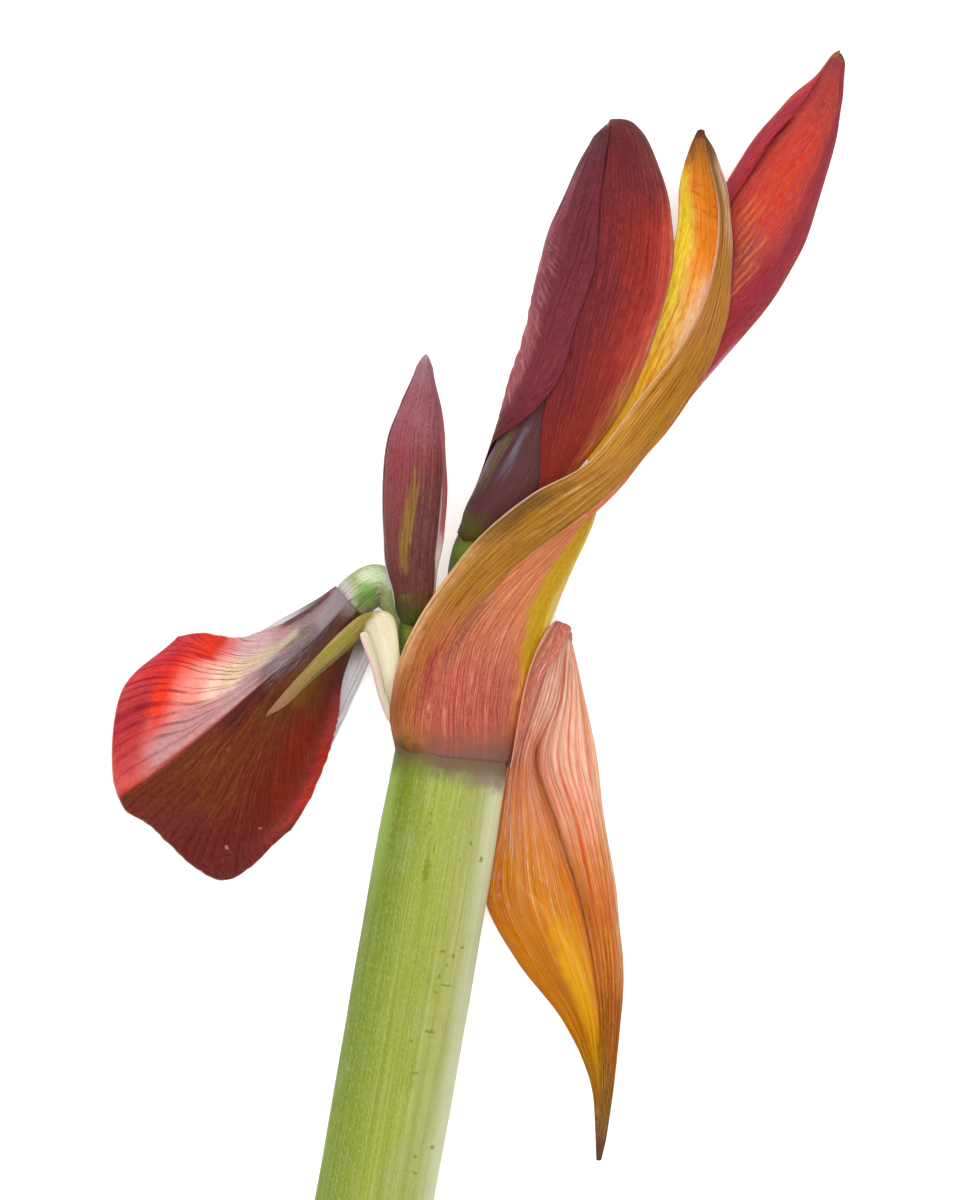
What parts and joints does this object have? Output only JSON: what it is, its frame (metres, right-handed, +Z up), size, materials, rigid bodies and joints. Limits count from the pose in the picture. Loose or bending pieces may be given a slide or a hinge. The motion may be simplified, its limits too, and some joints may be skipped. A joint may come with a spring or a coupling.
{
  "type": "amaryllis cut flower",
  "caption": "Cut amaryllis lying on a surface: hollow scape, an upright and a hanging spathe valve, closed buds and an opening drooping flower.",
  "frame": {"origin": "on the surface that the flower lies on, under the middle of its bounding box", "axes": "+Y along the scape from its cut end to the buds, +Z up from the surface, +X to the side of the hanging valve"},
  "size_m": [0.1368, 0.4006, 0.0428],
  "materials": {
    "scape": "satin, fine lengthwise lines",
    "spathe_upright": "satin, papery, parallel veins",
    "spathe_hanging": "satin, papery, parallel veins",
    "bracteole": "satin, fleshy",
    "stalk": "satin, fleshy",
    "large_bud": "satin, fine fan veins",
    "right_bud": "satin, fine fan veins",
    "small_bud": "satin with a pale bloom",
    "flower_front": "satin, fan veins, pale star",
    "flower_back": "thin, pale, translucent"
  },
  "bodies": {
    "root": {"scape": "scape", "spathe_valve_upright": "spathe_upright", "spathe_valve_hanging": "spathe_hanging", "bracteole_broad": "bracteole", "bracteole_narrow": "bracteole", "large_bud_outer_tepal_1": "large_bud", "large_bud_outer_tepal_2": "large_bud", "large_bud_outer_tepal_3": "large_bud", "large_bud_inner_tepal_1": "large_bud", "large_bud_inner_tepal_2": "large_bud", "large_bud_inner_tepal_3": "large_bud", "large_bud_stalk": "stalk", "right_bud_outer_tepal_1": "right_bud", "right_bud_outer_tepal_2": "right_bud", "right_bud_outer_tepal_3": "right_bud", "right_bud_inner_tepal_1": "right_bud", "right_bud_inner_tepal_2": "right_bud", "right_bud_inner_tepal_3": "right_bud", "right_bud_stalk": "stalk", "small_bud_outer_tepal_1": "small_bud", "small_bud_outer_tepal_2": "small_bud", "small_bud_outer_tepal_3": "small_bud", "small_bud_inner_tepal_1": "small_bud", "small_bud_inner_tepal_2": "small_bud", "small_bud_inner_tepal_3": "small_bud", "small_bud_stalk": "stalk", "drooping_flower_outer_tepal_1": "flower_front", "drooping_flower_outer_tepal_2": "flower_back", "drooping_flower_outer_tepal_3": "flower_back", "drooping_flower_inner_tepal_1": "flower_front", "drooping_flower_inner_tepal_2": "flower_front", "drooping_flower_inner_tepal_3": "flower_front", "drooping_flower_stalk": "stalk"}
  },
  "joints": []
}
